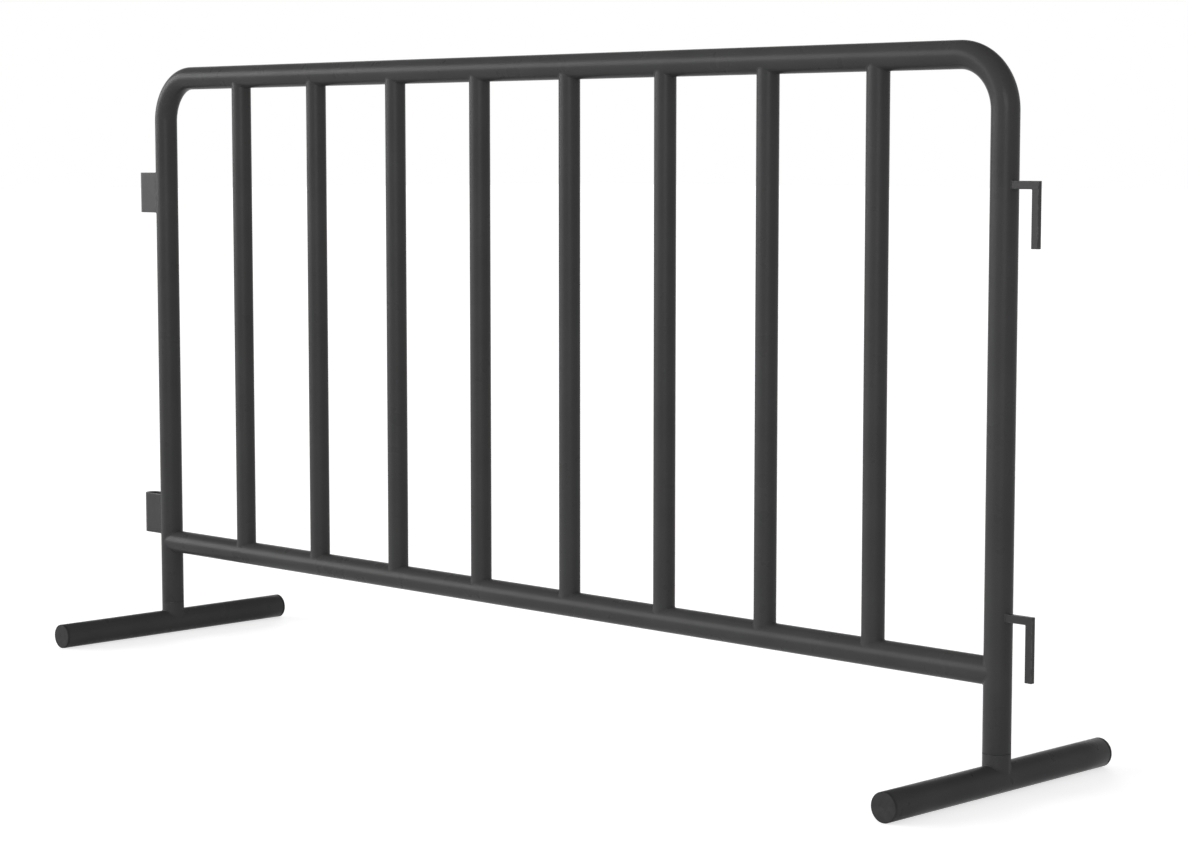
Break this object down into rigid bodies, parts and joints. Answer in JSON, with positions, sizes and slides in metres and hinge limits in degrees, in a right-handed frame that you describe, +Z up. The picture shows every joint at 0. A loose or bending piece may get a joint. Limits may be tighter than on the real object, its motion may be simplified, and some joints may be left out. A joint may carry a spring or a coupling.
{
  "type": "barrier fence",
  "caption": "Free-standing barrier panel: a bent tube frame with upright bars, hooks and loops that link it to the next panel, and round cross feet that swivel under the legs.",
  "frame": {"origin": "on the ground, midway between the axes of the two legs", "axes": "+X along the panel from the leg with the loops to the leg with the hooks, -Y out of the front of the panel, +Z up"},
  "size_m": [2.141, 0.525, 1.1],
  "materials": {
    "dark_paint": "satin dark grey powder coat with a fine grain",
    "cap_plastic": "moulded dark grey polyethylene, lightly scuffed",
    "washer_plastic": "smooth black nylon",
    "spigot_steel": "drawn steel tube, zinc plated and lightly greased",
    "screw_steel": "zinc plated steel"
  },
  "bodies": {
    "frame": {"frame_tube": "dark_paint", "bottom_rail": "dark_paint", "bar_1": "dark_paint", "bar_2": "dark_paint", "bar_3": "dark_paint", "bar_4": "dark_paint", "bar_5": "dark_paint", "bar_6": "dark_paint", "bar_7": "dark_paint", "bar_8": "dark_paint", "hook_upper": "dark_paint", "hook_lower": "dark_paint", "loop_upper": "dark_paint", "loop_lower": "dark_paint", "screw_nut_left": "dark_paint", "set_screw_left": "screw_steel", "screw_nut_right": "dark_paint", "set_screw_right": "screw_steel"},
    "foot_left": {"foot_tube_left": "dark_paint", "foot_cap_left_front": "cap_plastic", "foot_cap_left_rear": "cap_plastic", "foot_collar_left": "dark_paint", "foot_spigot_left": "spigot_steel", "foot_washer_left": "washer_plastic"},
    "foot_right": {"foot_tube_right": "dark_paint", "foot_cap_right_front": "cap_plastic", "foot_cap_right_rear": "cap_plastic", "foot_collar_right": "dark_paint", "foot_spigot_right": "spigot_steel", "foot_washer_right": "washer_plastic"}
  },
  "joints": [
    {"name": "foot_left_swivel", "type": "hinge", "parent": "frame", "child": "foot_left", "pos_m": [-1, 0, 0], "axis": [0, 0, 1], "range_deg": [0, 90]},
    {"name": "foot_right_swivel", "type": "hinge", "parent": "frame", "child": "foot_right", "pos_m": [1, 0, 0], "axis": [0, 0, 1], "range_deg": [0, 90]}
  ]
}
